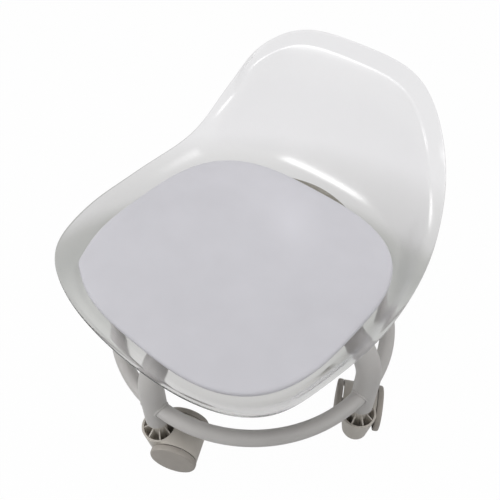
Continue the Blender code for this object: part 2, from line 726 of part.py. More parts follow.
def build_casters(finishes):
    hood, wheel, axle, stem, socket = hood_mesh(), wheel_mesh(), axle_mesh(), stem_mesh(), socket_mesh()
    outside = {"left": -math.pi / 2, "right": math.pi / 2}
    for name, (x, y), trail in CASTERS:
        spot = (x * LEG_CIRCLE_RADIUS, y * LEG_CIRCLE_RADIUS, 0)
        post = empty(f"{name}_post", spot)
        place(f"{name}_stem_socket", socket, finishes["plastic"], post)
        place(f"{name}_caster_stem", stem, finishes["steel"], post)
        swivel = empty(f"{name}_swivel", spot, trail)
        place(f"{name}_caster_hood", hood, finishes["plastic"], swivel)
        axle_at = Matrix.Translation((TRAIL, 0, WHEEL_RADIUS))
        across = axle_at @ Matrix.Rotation(math.pi / 2, 4, "X")
        place(f"{name}_caster_axle", axle, finishes["steel"], swivel, across)
        for side, turn in outside.items():
            place(
                f"{name}_caster_wheel_{side}",
                wheel,
                finishes["plastic"],
                swivel,
                axle_at @ Matrix.Rotation(turn, 4, "X"),
            )


def main():
    clear_scene()
    finishes = {
        "clear": material("clear_polycarbonate", (0.93, 0.94, 0.94), 0.04, transmission=1.0),
        "pad": material("pad_leatherette", (0.62, 0.60, 0.66), 0.55),
        "paint": material("powder_coat", (0.45, 0.44, 0.42), 0.45),
        "plastic": material("caster_plastic", (0.40, 0.37, 0.33), 0.5),
        "steel": material("zinc_steel", (0.60, 0.60, 0.60), 0.35, metallic=1.0),
    }
    build_seat(finishes)
    build_base(finishes)
    build_casters(finishes)


main()
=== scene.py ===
"""Looks of the low rolling stool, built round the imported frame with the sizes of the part's source."""

import math

import bmesh
import bpy
import numpy as np
from mathutils import Matrix, Vector

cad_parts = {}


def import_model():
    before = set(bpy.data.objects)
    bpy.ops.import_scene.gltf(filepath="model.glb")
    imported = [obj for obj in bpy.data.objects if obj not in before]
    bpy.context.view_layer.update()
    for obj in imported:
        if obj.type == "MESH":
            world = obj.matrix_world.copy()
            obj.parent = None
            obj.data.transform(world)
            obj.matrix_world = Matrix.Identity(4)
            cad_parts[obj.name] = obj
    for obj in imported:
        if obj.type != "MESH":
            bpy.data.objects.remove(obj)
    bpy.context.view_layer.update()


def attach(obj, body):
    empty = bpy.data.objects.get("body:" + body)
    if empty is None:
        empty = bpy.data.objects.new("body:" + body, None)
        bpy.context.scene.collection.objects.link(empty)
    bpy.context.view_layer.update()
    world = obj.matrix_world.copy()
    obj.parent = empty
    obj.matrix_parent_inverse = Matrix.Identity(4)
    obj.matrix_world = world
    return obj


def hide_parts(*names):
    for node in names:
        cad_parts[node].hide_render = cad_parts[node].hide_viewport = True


# Camera of the photograph, for a frame of 500 by 500
AZIMUTH = math.radians(40.861)
ELEVATION = math.radians(47.224)
DISTANCE = 0.5994
AIM_RIGHT = -0.0029
AIM_HEIGHT = 0.196
LENS = 43.19
SENSOR = 36.0
CLIP = (0.01, 50.0)

# Sizes of the part, in metres: gaps between pieces first
SEAT_GAP = 0.0003
BORE_GAP = 0.0003
CUT_PAST = 0.010

# Legs and ring
LEG_CIRCLE_RADIUS = 0.150
LEG_RADIUS = 0.0125
LEG_WALL = 0.0015
LEG_BEND_RADIUS = 0.060
RING_ABOVE_LEG_END = 0.028
RING_RADIUS = 0.008
RING_WALL = 0.0015

# Plate under the seat
PLATE_SIDE = 0.112
PLATE_THICKNESS = 0.003
PLATE_CORNER = 0.012
SCREW_SPACING = 0.080

# Clear seat shell
PAN_HEIGHT = 0.1995
PAN_CENTRE_Y = -0.0245
PAN_SIDE_RUN = 0.0198
PAN_FRONT_RUN = 0.0151
PAN_TAPER = 0.03
PAN_SQUARENESS = 3.0
SHELL_THICKNESS = 0.003
LIP_WIDTH = 0.014
LIP_RISE = 0.011
LIP_FRONT_SHARE = 0.25
LIP_GROWTH = 0.100
LIP_GROWTH_BLEND = 0.08
WALL_FILLET = 0.040
WALL_FILLET_SHARE = 0.95
WALL_FILLET_BLEND = 0.003
LIP_ROUNDNESS = 0.55
LIP_CREST_DROP = 0.12
WALL_HEAD_SHARE = 0.35
BOSS_RADIUS = 0.011
BOSS_HEIGHT = 0.004

# Left half of the lip's edge, from front to back; heights are above the pan
LIP_EDGE = (
    (0.0000, -0.1696, 0.0042),
    (0.0805, -0.1616, 0.0080),
    (0.1316, -0.1354, 0.0160),
    (0.1516, -0.0820, 0.0205),
    (0.1583, -0.0060, 0.0180),
    (0.1500, 0.0695, 0.0295),
    (0.1318, 0.1116, 0.0780),
    (0.1030, 0.1320, 0.1260),
    (0.0615, 0.1500, 0.1505),
    (0.0000, 0.1553, 0.1545),
)

# Seat pad, with its settled hollow and its pulled corner
PAD_INSET = 0.0015
PAD_THICKNESS = 0.0065
PAD_CROWN = 0.0015
PAD_UNDER_SHARE = 0.30
PAD_UNDER_EDGE = 0.004
PAD_EDGE_BULGE = 0.0012
PAD_EDGE_ROUND = 0.0032
PAD_EDGE_RUN = 0.03
PAD_TOP_START = 0.006
PAD_TOP_STEP = 0.004
PAD_TOP_END = 0.1165
HOLLOW_SPREAD = 0.075
HOLLOW_DEPTH = 0.0008
TROUGH_START = (0.028, 0.027)
TROUGH_HEADING = (-0.71, 0.70)
TROUGH_SHIFT = 0.02
TROUGH_LENGTH = 0.045
TROUGH_WIDTH = 0.018
TROUGH_DEPTH = 0.0010
PAD_CORNER = (-0.1075, -0.1245)
PAD_CORNER_HEADING = (-0.72, -0.69)
PAD_CORNER_SPREAD = 0.012
PAD_CORNER_PULL = 0.0045
PAD_CORNER_LIFT = 0.0006

# Dark sheet of painted shade that shows past the pad's back edge
TAB_HALF_WIDTH = 0.048
TAB_BULGE = 0.0102
TAB_CLIMB = 20.4
TAB_THICKNESS = 0.0003
TAB_UNDERLAP = 0.008
TAB_SHARES = (-1.0, 0.0, 0.2, 0.4, 0.6, 0.8, 1.0)
PAINTED_SHADE_RISE = 0.0014
PAINTED_SHADE_BLEND = 0.0001

# Screws, washers and nuts
SCREW_RADIUS = 0.003
SCREW_HEAD_RADIUS = 0.00625
SCREW_HEAD_HEIGHT = 0.0024
SCREW_HEAD_ROUND = 0.0004
SCREW_LENGTH = 0.018
SCREW_NECK = 0.006
SCREW_TIP_SHARE = 0.8
SCREW_TIP_HEIGHT = 0.0006
THREAD_START = 0.0012
THREAD_PITCH = 0.001
THREAD_DEPTH = 0.00035
SOCKET_ACROSS = 0.004
SOCKET_DEPTH = 0.0015
WASHER_RADIUS = 0.00625
WASHER_THICKNESS = 0.0012
WASHER_ROUND = 0.0002
NUT_ACROSS = 0.010
NUT_HEIGHT = 0.005
NUT_ROUND = 0.0004

# Wheels and axles; the rounds are given in from the rim and out from a face
WHEEL_RADIUS = 0.025
WHEEL_SIDE_GAP = 0.0004
TREAD_WIDTH = 0.005
TREAD_INNER_ROUND = ((0.0008, 0.0), (0.0002, 0.0003), (0.0, 0.0010))
TREAD_OUTER_ROUND = ((0.0, -0.0008), (0.0003, 0.0))
DOME_HEIGHT = 0.0022
DOME_INSET = 0.0022
DOME_SHARE = 0.45
SHOULDER_INSET = 0.0010
SHOULDER_SHARE = 0.40
DISC_THICKNESS = 0.003
HUB_RADIUS = 0.0045
HUB_BOSS_GAP = 0.0008
HUB_INNER_FACE = 0.0042
AXLE_RADIUS = 0.0025
AXLE_END_COVER = 0.0025

# Caster hoods
HOOD_SIDE_GAP = 0.0008
HOOD_WALL = 0.0022
HOOD_INSET = 0.0004
HOOD_REAR_DROP = math.radians(8)
HOOD_FRONT_END = math.radians(150)
WEB_THICKNESS = 0.005
AXLE_BOSS_RADIUS = 0.0055
AXLE_BOSS_GAP = 0.0004
WEB_FOOT = 0.006
WEB_UNDER_AXLE = 0.0077
BOSS_TOP = 0.047
BOSS_BOTTOM = 0.009
BOSS_TOP_RADIUS = 0.0187
BOSS_BOTTOM_RADIUS = 0.0138
BOSS_WALL = 0.0022
BOSS_FLOOR = 0.022
COLLAR_RADIUS = 0.0082
COLLAR_RISE = 0.013
RIB_COUNT = 8
RIB_THICKNESS = 0.0012
RIB_RIM_DROP = 0.0015
RIB_COLLAR_RISE = 0.007

# Caster stems and their sockets
STEM_RADIUS = 0.005
STEM_FLANGE_RADIUS = 0.0075
STEM_FLANGE_THICKNESS = 0.0021
STEM_INSERTION = 0.030
STEM_SEAT_DEPTH = 0.018
STEM_TIP_SHARE = 0.3
SOCKET_FLANGE = 0.002
SOCKET_LENGTH = 0.034

# Welds and rounded edges
WELD_RADIUS = 0.0014
WELD_RIPPLE = 0.14
WELD_RIPPLES = 5
WELD_RIPPLE_STEPS = 18
LEG_WELD_SHARE = 0.999
EDGE_ROUND = 0.0003
CORNER_SHARE = 0.3

# Casters: name, side of the base and turn at rest
CASTERS = (
    ("front", (0, -1), math.radians(25.5)),
    ("left", (1, 0), math.radians(119.0)),
    ("back", (0, 1), math.radians(205.5)),
    ("right", (-1, 0), math.radians(61.0)),
)
RINGS = ("left_back", "back_right", "right_front", "front_left")

# Sizes that follow from those above
PAN_HALF_WIDTH = max(point[0] for point in LIP_EDGE) - PAN_SIDE_RUN
PAN_HALF_DEPTH = PAN_CENTRE_Y - LIP_EDGE[0][1] - PAN_FRONT_RUN
PAD_HALF_WIDTH = PAN_HALF_WIDTH - PAD_INSET
PAD_HALF_DEPTH = PAN_HALF_DEPTH - PAD_INSET
COLLAR_TOP = BOSS_TOP + COLLAR_RISE
STEM_FLANGE_TOP = COLLAR_TOP + SEAT_GAP + STEM_FLANGE_THICKNESS
LEG_END_HEIGHT = STEM_FLANGE_TOP + 2 * SEAT_GAP + SOCKET_FLANGE
RING_HEIGHT = LEG_END_HEIGHT + RING_ABOVE_LEG_END
BOSS_TAPER = (BOSS_TOP_RADIUS - BOSS_BOTTOM_RADIUS) / (BOSS_TOP - BOSS_BOTTOM)
BOSS_AXLE_RADIUS = BOSS_BOTTOM_RADIUS + BOSS_TAPER * (WHEEL_RADIUS - BOSS_BOTTOM)
TRAIL = BOSS_AXLE_RADIUS + HUB_RADIUS + HUB_BOSS_GAP
WHEEL_INNER_FACE = BOSS_TOP_RADIUS + WHEEL_SIDE_GAP
HOOD_HALF_WIDTH = WHEEL_INNER_FACE - HOOD_SIDE_GAP
AXLE_BOSS_HALF_WIDTH = HUB_INNER_FACE - AXLE_BOSS_GAP
SHELL_UNDERSIDE = PAN_HEIGHT - SHELL_THICKNESS
PLATE_TOP = SHELL_UNDERSIDE - BOSS_HEIGHT - SEAT_GAP
PLATE_BOTTOM = PLATE_TOP - PLATE_THICKNESS
LEG_TOP_LEVEL = PLATE_BOTTOM - SEAT_GAP - LEG_RADIUS
PAINTED_SHADE_LEVEL = PAN_HEIGHT + PAINTED_SHADE_RISE

# Colours, with painted light and shade on the caster plastic and a painted highlight on the pad
MOTTLE = (0.3, 0.7)
PAD_COLOUR = (0.48, 0.475, 0.505)
PAINT_COLOUR = (0.545, 0.53, 0.515)
# One caster plastic in two tones: lighter on the hoods as painted light on their tops, darker on the
# wheels as painted shade on their faces
CASTER_PAINTED_LIGHT_COLOUR = (0.58, 0.545, 0.495)
WHEEL_PAINTED_SHADE_COLOUR = (0.385, 0.355, 0.32)
# Painted highlight: a soft lighter patch on the cushion's top, in place of a glossy reflection
PAINTED_HIGHLIGHT_CENTRE = (0.012, 0.045, PAN_HEIGHT)
PAINTED_HIGHLIGHT_TURN = math.radians(45)
PAINTED_HIGHLIGHT_REACH = (0.045, 0.075, 0.1)
PAINTED_HIGHLIGHT_SHARE = 1.10

# Studio
WHITE = (1.0, 1.0, 1.0, 1.0)
FLOOR_HALF_SIDE = 6.0
SEEN_RAYS = ("Is Camera Ray", "Is Glossy Ray", "Is Transmission Ray")
FLOOR_GLOW = (0.985, 0.5, 0.85)
# Painted shadow: a soft darker ring on the floor round the stool, seen only through the clear shell
PAINTED_SHADOW_CENTRE = (0.0, -0.05, 0.0)
PAINTED_SHADOW = (
    (0.10, (0.80, 0.80, 0.78)),
    (0.17, (0.67, 0.68, 0.65)),
    (0.22, (0.65, 0.66, 0.63)),
    (0.30, (0.45, 0.46, 0.435)),
    (0.335, (0.50, 0.505, 0.48)),
    (0.365, (0.74, 0.74, 0.73)),
    (0.44, (0.86, 0.86, 0.85)),
    (0.50, (1.0, 1.0, 1.0)),
)
WORLD_LIGHT = 0.26
LAMP_AIM = (0, 0, 0.2)
LAMPS = (
    ("overhead", (-0.25, -0.12, 1.5), (1.4, 1.4), 19.0),
    ("right_box", (-0.62, -1.55, 0.48), (0.58, 0.34), 5.3),
    ("left_box", (1.3, 0.2, 0.7), (0.9, 0.16), 3.0),
)

# Places of the colour sockets on a mix node
MIX_INPUTS = (6, 7)
MIX_OUTPUT = 2

# Fineness of the meshes
MERGE_DISTANCE = 1e-6
SHARP_ANGLE = 35
SOFT_ANGLE = 60
TAB_ANGLE = 40
WHEEL_ANGLE = 30
SHELL_AROUND = 1080
WALL_STEPS = 24
LIP_STEPS = 16
EDGE_STEPS = 10
EDGE_FINENESS = 400
EDGE_EASE = 10
PAD_AROUND = 200
PAD_EDGE_STEPS = 13
PAD_TOP_STEPS = 28
TAB_STEPS = 40
PLATE_CORNER_STEPS = 10
LEG_SIDES = 40
LEG_BEND_STEPS = 20
RING_SIDES = 28
RING_STEPS = 40
RING_WELD_STEPS = 72
LEG_WELD_STEPS = 108
WELD_SIDES = 10
SMALL_SIDES = 32
ROUND_SIDES = 48
LARGE_SIDES = 64
WHEEL_SIDES = 96
DOME_STEPS = 8
HOOD_STEPS = 36
BEVEL_STEPS = 2


def placed(name, data):
    """A new object in the scene."""
    item = bpy.data.objects.new(name, data)
    bpy.context.scene.collection.objects.link(item)
    return item


def evaluated(host):
    """The mesh of an object with its modifiers applied."""
    bpy.context.view_layer.update()
    graph = bpy.context.evaluated_depsgraph_get()
    return bpy.data.meshes.new_from_object(host.evaluated_get(graph))


def smoothed(mesh, angle):
    mesh.shade_smooth()
    mesh.set_sharp_from_angle(angle=math.radians(angle))
    return mesh


def mesh_from(name, bm, angle=SHARP_ANGLE):
    bmesh.ops.remove_doubles(bm, verts=bm.verts, dist=MERGE_DISTANCE)
    bmesh.ops.recalc_face_normals(bm, faces=bm.faces)
    mesh = bpy.data.meshes.new(name)
    bm.to_mesh(mesh)
    bm.free()
    return smoothed(mesh, angle)


def turned(profile, steps):
    """A closed outline of (radius, height) points turned about Z."""
    bm = bmesh.new()
    verts = [bm.verts.new((radius, 0.0, height)) for radius, height in profile]
    edges = [bm.edges.new((a, b)) for a, b in zip(verts, verts[1:] + verts[:1])]
    bmesh.ops.spin(bm, geom=verts + edges, cent=(0, 0, 0), axis=(0, 0, 1), angle=math.tau, steps=steps)
    bmesh.ops.remove_doubles(bm, verts=bm.verts, dist=MERGE_DISTANCE)
    return bm


def extruded(outline, low, high):
    """A flat outline of (x, y) points drawn up from low to high."""
    bm = bmesh.new()
    face = bm.faces.new([bm.verts.new((x, y, low)) for x, y in outline])
    grown = bmesh.ops.extrude_face_region(bm, geom=[face])
    lifted = [part for part in grown["geom"] if isinstance(part, bmesh.types.BMVert)]
    bmesh.ops.translate(bm, verts=lifted, vec=(0, 0, high - low))
    return bm


def arc(radius, turns):
    return [(radius * math.cos(turn), radius * math.sin(turn)) for turn in turns]


def full_turn(steps):
    return [math.tau * step / steps for step in range(steps)]


def polygon(sides, radius):
    return arc(radius, full_turn(sides))


def hexagon(across):
    return polygon(6, across / 2 / math.cos(math.pi / 6))


def rod(radius, low, high, sides=ROUND_SIDES):
    return extruded(polygon(sides, radius), low, high)


def moved(bm, x=0.0, y=0.0, z=0.0):
    bmesh.ops.translate(bm, verts=bm.verts, vec=(x, y, z))
    return bm


def rotated(bm, turn, axis):
    bmesh.ops.rotate(bm, verts=bm.verts, cent=(0, 0, 0), matrix=Matrix.Rotation(turn, 3, axis))
    return bm


def lofted(loops, ring=False):
    """Faces between loops of matching points; the ends are filled, or joined to make a ring."""
    bm = bmesh.new()
    rows = [[bm.verts.new(point) for point in loop] for loop in loops]
    pairs = list(zip(rows, rows[1:]))
    if ring:
        pairs.append((rows[-1], rows[0]))
    for lower, upper in pairs:
        count = len(lower)
        for step in range(count):
            after = (step + 1) % count
            bm.faces.new((lower[step], lower[after], upper[after], upper[step]))
    if not ring:
        bm.faces.new(rows[0])
        bm.faces.new(rows[-1])
    return bm


def combined(name, base, joined=(), cuts=(), angle=SHARP_ANGLE):
    """One mesh from a base with shapes joined to it and then shapes cut out of it, by Boolean."""
    host = placed(name, mesh_from(name, base))
    helpers = []
    for operation, shapes in (("UNION", joined), ("DIFFERENCE", cuts)):
        for shape in shapes:
            helper = placed(name + "_helper", mesh_from(name + "_helper", shape))
            helpers.append(helper)
            step = host.modifiers.new(operation.lower(), "BOOLEAN")
            step.operation = operation
            step.solver = "EXACT"
            step.object = helper
    mesh = evaluated(host)
    for item in [host, *helpers]:
        bpy.data.objects.remove(item, do_unlink=True)
    mesh.name = name
    return smoothed(mesh, angle)


def bevelled(name, mesh, width=EDGE_ROUND):
    """The mesh with its sharp edges rounded."""
    host = placed(name, mesh)
    edge = host.modifiers.new("edge", "BEVEL")
    edge.width = width
    edge.segments = BEVEL_STEPS
    edge.limit_method = "ANGLE"
    edge.angle_limit = math.radians(SHARP_ANGLE)
    edge.harden_normals = True
    made = evaluated(host)
    bpy.data.objects.remove(host, do_unlink=True)
    made.name = name
    return made


def tube(path, outer, inner, sides, side_axis):
    """A hollow tube of round section along a flat path; side_axis is square to the plane of the path."""
    path = [Vector(point) for point in path]
    across = Vector(side_axis)
    outside, inside = [], []
    for step, point in enumerate(path):
        along = (path[min(step + 1, len(path) - 1)] - path[max(step - 1, 0)]).normalized()
        outward = along.cross(across).normalized()
        for loops, radius in ((outside, outer), (inside, inner)):
            loops.append([point + radius * (x * across + y * outward) for x, y in polygon(sides, 1.0)])
    return lofted(outside + inside[::-1], ring=True)


def squircle(turn, half_width, half_depth):
    """A point on a rounded square like the pan's, with bowed sides and a narrower front."""
    x, y = math.cos(turn), math.sin(turn)
    spread = abs(x / half_width) ** PAN_SQUARENESS + abs(y / half_depth) ** PAN_SQUARENESS
    reach = spread ** (-1 / PAN_SQUARENESS)
    narrowing = 1 - PAN_TAPER * (1 - reach * y / half_depth) / 2
    return narrowing * reach * x, PAN_CENTRE_Y + reach * y


def through(points, steps):
    """A smooth closed curve through points, with the same number of steps on every span."""
    points = np.asarray(points)
    made = []
    for span in range(len(points)):
        a, b, c, d = (points[(span + shift) % len(points)] for shift in (-1, 0, 1, 2))
        for t in np.linspace(0, 1, steps, endpoint=False):
            square = (2 * a - 5 * b + 4 * c - d) * t**2
            cube = (3 * b - a - 3 * c + d) * t**3
            made.append((2 * b + (c - a) * t + square + cube) / 2)
    return np.array(made)


def even(points, count):
    """Count points at equal distances round a closed curve, from its first point."""
    closed = np.vstack([points, points[:1]])
    run = np.concatenate([[0], np.cumsum(np.linalg.norm(np.diff(closed, axis=0), axis=1))])
    where = np.linspace(0, run[-1], count, endpoint=False)
    return np.stack([np.interp(where, run, closed[:, axis]) for axis in range(3)], axis=1)


def shares(steps):
    return [(step + 1) / steps for step in range(steps)]


def bezier(t, a, b, c, d):
    s = 1 - t
    return s**3 * a + 3 * t * s**2 * b + 3 * t**2 * s * c + t**3 * d


def eased(points, spread):
    """The points of a closed curve, each averaged with its neighbours by a bell curve."""
    steps = range(-3 * spread, 3 * spread + 1)
    weights = [math.exp(-0.5 * (step / spread) ** 2) for step in steps]
    total = sum(weight * np.roll(points, step, axis=0) for step, weight in zip(steps, weights))
    return total / sum(weights)


def soft_least(a, b, blend):
    """The lesser of two values, with a rounded change from one to the other."""
    low, gap = min(a, b), abs(a - b)
    return low - blend * math.log1p(math.exp(-gap / blend))


def lip_edge():
    half = [Vector(point) + Vector((0, 0, PAN_HEIGHT)) for point in LIP_EDGE]
    mirrored = [Vector((-point.x, point.y, point.z)) for point in half[-2:0:-1]]
    edge = even(through(half + mirrored, EDGE_FINENESS), SHELL_AROUND)
    return eased(2 * edge - eased(edge, EDGE_EASE), EDGE_EASE)


def shell_loops():
    """The inner face of the shell, as loops from the edge of the pan out to the edge of the lip."""
    edge = [Vector(point) for point in lip_edge()]
    spokes = []
    for step, tip in enumerate(edge):
        along = (edge[(step + 1) % len(edge)] - edge[step - 1]).normalized()
        outward = Vector((along.y, -along.x, 0)).normalized()
        turn = math.atan2(tip.y - PAN_CENTRE_Y, tip.x)
        pan = Vector((*squircle(turn, PAN_HALF_WIDTH, PAN_HALF_DEPTH), PAN_HEIGHT))
        tip = tip - SHELL_THICKNESS / 2 * outward
        growth = soft_least((tip.z - edge[0].z) / LIP_GROWTH, 1.0, LIP_GROWTH_BLEND)
        lip = LIP_FRONT_SHARE + (1 - LIP_FRONT_SHARE) * growth
        shoulder = tip - lip * LIP_WIDTH * outward
        shoulder.z -= lip * LIP_RISE
        rise = shoulder - pan
        level = Vector((rise.x, rise.y, 0))
        reach = soft_least(WALL_FILLET, lip * WALL_FILLET_SHARE * level.length, WALL_FILLET_BLEND)
        foot = pan + level.normalized() * reach
        head = shoulder - WALL_HEAD_SHARE * rise
        spoke = [pan]
        for t in shares(WALL_STEPS):
            spoke.append(bezier(t, pan, foot, head, shoulder))
        crest = shoulder + rise.normalized() * (1 - LIP_CREST_DROP * growth) * lip * LIP_RISE
        leave = shoulder.lerp(crest, LIP_ROUNDNESS)
        arrive = tip.lerp(crest, LIP_ROUNDNESS)
        for t in shares(LIP_STEPS):
            spoke.append(bezier(t, shoulder, leave, arrive, tip))
        spokes.append(spoke)
    return [[spoke[row] for spoke in spokes] for row in range(len(spokes[0]))]


def screw_places():
    half = SCREW_SPACING / 2
    return [(x * half, y * half) for x, y in ((1, -1), (1, 1), (-1, 1), (-1, -1))]


def shell_mesh():
    """The clear shell: inner face, rounded lip edge, outer face, and screw bosses under the pan."""
    inner = shell_loops()
    count = len(inner[0])
    away = []
    for row, loop in enumerate(inner):
        before, after = inner[max(row - 1, 0)], inner[min(row + 1, len(inner) - 1)]
        rays = []
        for step in range(count):
            along = loop[(step + 1) % count] - loop[step - 1]
            rays.append(along.cross(after[step] - before[step]).normalized())
        away.append(rays)
    away[0] = [Vector((0, 0, -1))] * count
    half = SHELL_THICKNESS / 2
    outer = [[p + SHELL_THICKNESS * n for p, n in zip(loop, rays)] for loop, rays in zip(inner, away)]
    rim = []
    for turn in shares(EDGE_STEPS)[:-1]:
        swing = math.pi * turn
        loop = []
        for step in range(count):
            out = (inner[-1][step] - inner[-2][step]).normalized()
            middle = inner[-1][step] + half * away[-1][step]
            loop.append(middle - half * math.cos(swing) * away[-1][step] + half * math.sin(swing) * out)
        rim.append(loop)
    body = lofted(inner + rim + outer[::-1])
    boss_top = SHELL_UNDERSIDE + half
    boss_bottom = SHELL_UNDERSIDE - BOSS_HEIGHT
    above = PAN_HEIGHT + CUT_PAST
    recess = PAN_HEIGHT - SCREW_HEAD_HEIGHT - 2 * SEAT_GAP
    bosses, cuts = [], []
    for x, y in screw_places():
        bosses.append(moved(rod(BOSS_RADIUS, boss_bottom, boss_top), x, y))
        cuts.append(moved(rod(SCREW_RADIUS + BORE_GAP, boss_bottom - CUT_PAST, above), x, y))
        cuts.append(moved(rod(SCREW_HEAD_RADIUS + BORE_GAP, recess, above), x, y))
    return combined("shell", body, bosses, cuts, SOFT_ANGLE)


def pad_dip(x, y):
    """How far the cushion's top has settled: a broad hollow, and a soft trough towards one corner."""
    hollow = math.exp(-((x / HOLLOW_SPREAD) ** 2) - ((y - PAN_CENTRE_Y) / HOLLOW_SPREAD) ** 2)
    dx, dy = x - TROUGH_START[0], y - TROUGH_START[1]
    along = TROUGH_HEADING[1] * dy + TROUGH_HEADING[0] * dx - TROUGH_SHIFT
    across = TROUGH_HEADING[1] * dx - TROUGH_HEADING[0] * dy
    trough = math.exp(-((across / TROUGH_WIDTH) ** 2) - (along / TROUGH_LENGTH) ** 2)
    return HOLLOW_DEPTH * hollow + TROUGH_DEPTH * trough


def pad_rows():
    """The cushion's section from below, round the edge, to the top: share of height, growth outward."""
    rows = [(0.0, -PAD_UNDER_SHARE * PAD_HALF_DEPTH), (0.0, -PAD_UNDER_EDGE)]
    for t in np.linspace(-1, 1, PAD_EDGE_STEPS):
        sag = 1 - math.sqrt(max(0.0, 1 - t * t))
        rows.append(((1 + t) / 2, PAD_EDGE_BULGE - PAD_EDGE_ROUND * sag))
    insets = [PAD_TOP_START + PAD_TOP_STEP * step for step in range(PAD_TOP_STEPS)]
    for inward in (*insets, PAD_TOP_END):
        rise = 1 - math.exp(-inward / PAD_EDGE_RUN)
        rows.append((1 + rise * PAD_CROWN / PAD_THICKNESS, -inward))
    return rows


def pad_mesh():
    """A thin cushion: flat below, a full rounded edge and a top that crowns gently to the middle."""
    base = PAN_HEIGHT + SEAT_GAP
    loops = []
    for share, grow in pad_rows():
        settled = min(-grow / PAD_EDGE_RUN, 1.0) if share >= 1 else 0.0
        near_edge = max(0.0, 1 + min(grow, 0.0) / PAD_EDGE_RUN)
        loop = []
        for turn in full_turn(PAD_AROUND):
            x, y = squircle(turn, PAD_HALF_WIDTH + grow, PAD_HALF_DEPTH + grow)
            from_corner = math.hypot(x - PAD_CORNER[0], y - PAD_CORNER[1])
            pull = near_edge * math.exp(-from_corner / PAD_CORNER_SPREAD)
            level = base + share * PAD_THICKNESS - settled * pad_dip(x, y) + pull * PAD_CORNER_LIFT
            x += PAD_CORNER_HEADING[0] * pull * PAD_CORNER_PULL
            y += PAD_CORNER_HEADING[1] * pull * PAD_CORNER_PULL
            loop.append((x, y, level))
        loops.append(loop)
    return mesh_from("pad", lofted(loops), SOFT_ANGLE)


def painted_shade_mesh():
    """A dark sheet of painted shade, where it shows past the cushion's straight back edge."""
    back = PAN_CENTRE_Y + PAD_HALF_DEPTH
    upper = []
    for step in range(TAB_STEPS + 1):
        x = TAB_HALF_WIDTH * (2 * step / TAB_STEPS - 1)
        reach = back + TAB_BULGE * (1 - (x / TAB_HALF_WIDTH) ** 2)
        row = []
        for share in TAB_SHARES:
            y = back + (reach - back) * share if share > 0 else back + TAB_UNDERLAP * share
            climb = max(0.0, y - back - PAD_INSET)
            row.append((x, y, PAN_HEIGHT + 2 * SEAT_GAP + TAB_CLIMB * climb**2))
        upper.append(row)
    bm = bmesh.new()
    rows = [[bm.verts.new(point) for point in row] for row in upper]
    for near, far in zip(rows, rows[1:]):
        for step in range(len(near) - 1):
            bm.faces.new((near[step], far[step], far[step + 1], near[step + 1]))
    bmesh.ops.recalc_face_normals(bm, faces=bm.faces)
    bmesh.ops.solidify(bm, geom=bm.faces[:], thickness=TAB_THICKNESS)
    return mesh_from("painted_shade", bm, TAB_ANGLE)


def plate_mesh():
    inset = PLATE_SIDE / 2 - PLATE_CORNER
    outline = []
    for corner in range(4):
        middle = Matrix.Rotation(corner * math.pi / 2, 2) @ Vector((inset, inset))
        for step in range(PLATE_CORNER_STEPS + 1):
            turn = corner * math.pi / 2 + step * math.pi / 2 / PLATE_CORNER_STEPS
            outline.append(tuple(middle + PLATE_CORNER * Vector((math.cos(turn), math.sin(turn)))))
    body = extruded(outline, PLATE_BOTTOM, PLATE_TOP)
    holes = []
    for x, y in screw_places():
        hole = rod(SCREW_RADIUS + BORE_GAP, PLATE_BOTTOM - CUT_PAST, PLATE_TOP + CUT_PAST)
        holes.append(moved(hole, x, y))
    return bevelled("plate", combined("plate", body, cuts=holes))


def leg_path():
    """Points from the foot of a leg up round its bend and in to the axis, in X and Z."""
    bend_middle = LEG_CIRCLE_RADIUS - LEG_BEND_RADIUS
    bend_level = LEG_TOP_LEVEL - LEG_BEND_RADIUS
    points = [(LEG_CIRCLE_RADIUS, 0, LEG_END_HEIGHT)]
    for step in range(LEG_BEND_STEPS + 1):
        turn = step * math.pi / 2 / LEG_BEND_STEPS
        x = bend_middle + LEG_BEND_RADIUS * math.cos(turn)
        points.append((x, 0, bend_level + LEG_BEND_RADIUS * math.sin(turn)))
    return points + [(0, 0, LEG_TOP_LEVEL)]


def through_leg_mesh():
    left = leg_path()[:-1]
    right = [(-x, y, z) for x, y, z in left[::-1]]
    body = tube(left + right, LEG_RADIUS, LEG_RADIUS - LEG_WALL, LEG_SIDES, (0, 1, 0))
    return mesh_from("side_legs", body)


def butted_leg_mesh():
    body = tube(leg_path(), LEG_RADIUS, LEG_RADIUS - LEG_WALL, LEG_SIDES, (0, 1, 0))
    reach = LEG_RADIUS + CUT_PAST
    saddle = rotated(rod(LEG_RADIUS + SEAT_GAP, -reach, reach, LARGE_SIDES), math.pi / 2, "X")
    return combined("butted_leg", body, cuts=[moved(saddle, z=LEG_TOP_LEVEL)])


def ring_arc_mesh():
    turns = [step * math.pi / 2 / RING_STEPS for step in range(RING_STEPS + 1)]
    path = [LEG_CIRCLE_RADIUS * Vector((math.cos(turn), math.sin(turn), 0)) for turn in turns]
    path = [point + Vector((0, 0, RING_HEIGHT)) for point in path]
    body = tube(path, RING_RADIUS, RING_RADIUS - RING_WALL, RING_SIDES, (0, 0, 1))
    reach = RING_RADIUS + CUT_PAST
    saddles = []
    for x, y in ((LEG_CIRCLE_RADIUS, 0), (0, LEG_CIRCLE_RADIUS)):
        saddle = rod(LEG_RADIUS + SEAT_GAP, RING_HEIGHT - reach, RING_HEIGHT + reach, LARGE_SIDES)
        saddles.append(moved(saddle, x, y))
    return combined("ring_arc", body, cuts=saddles)


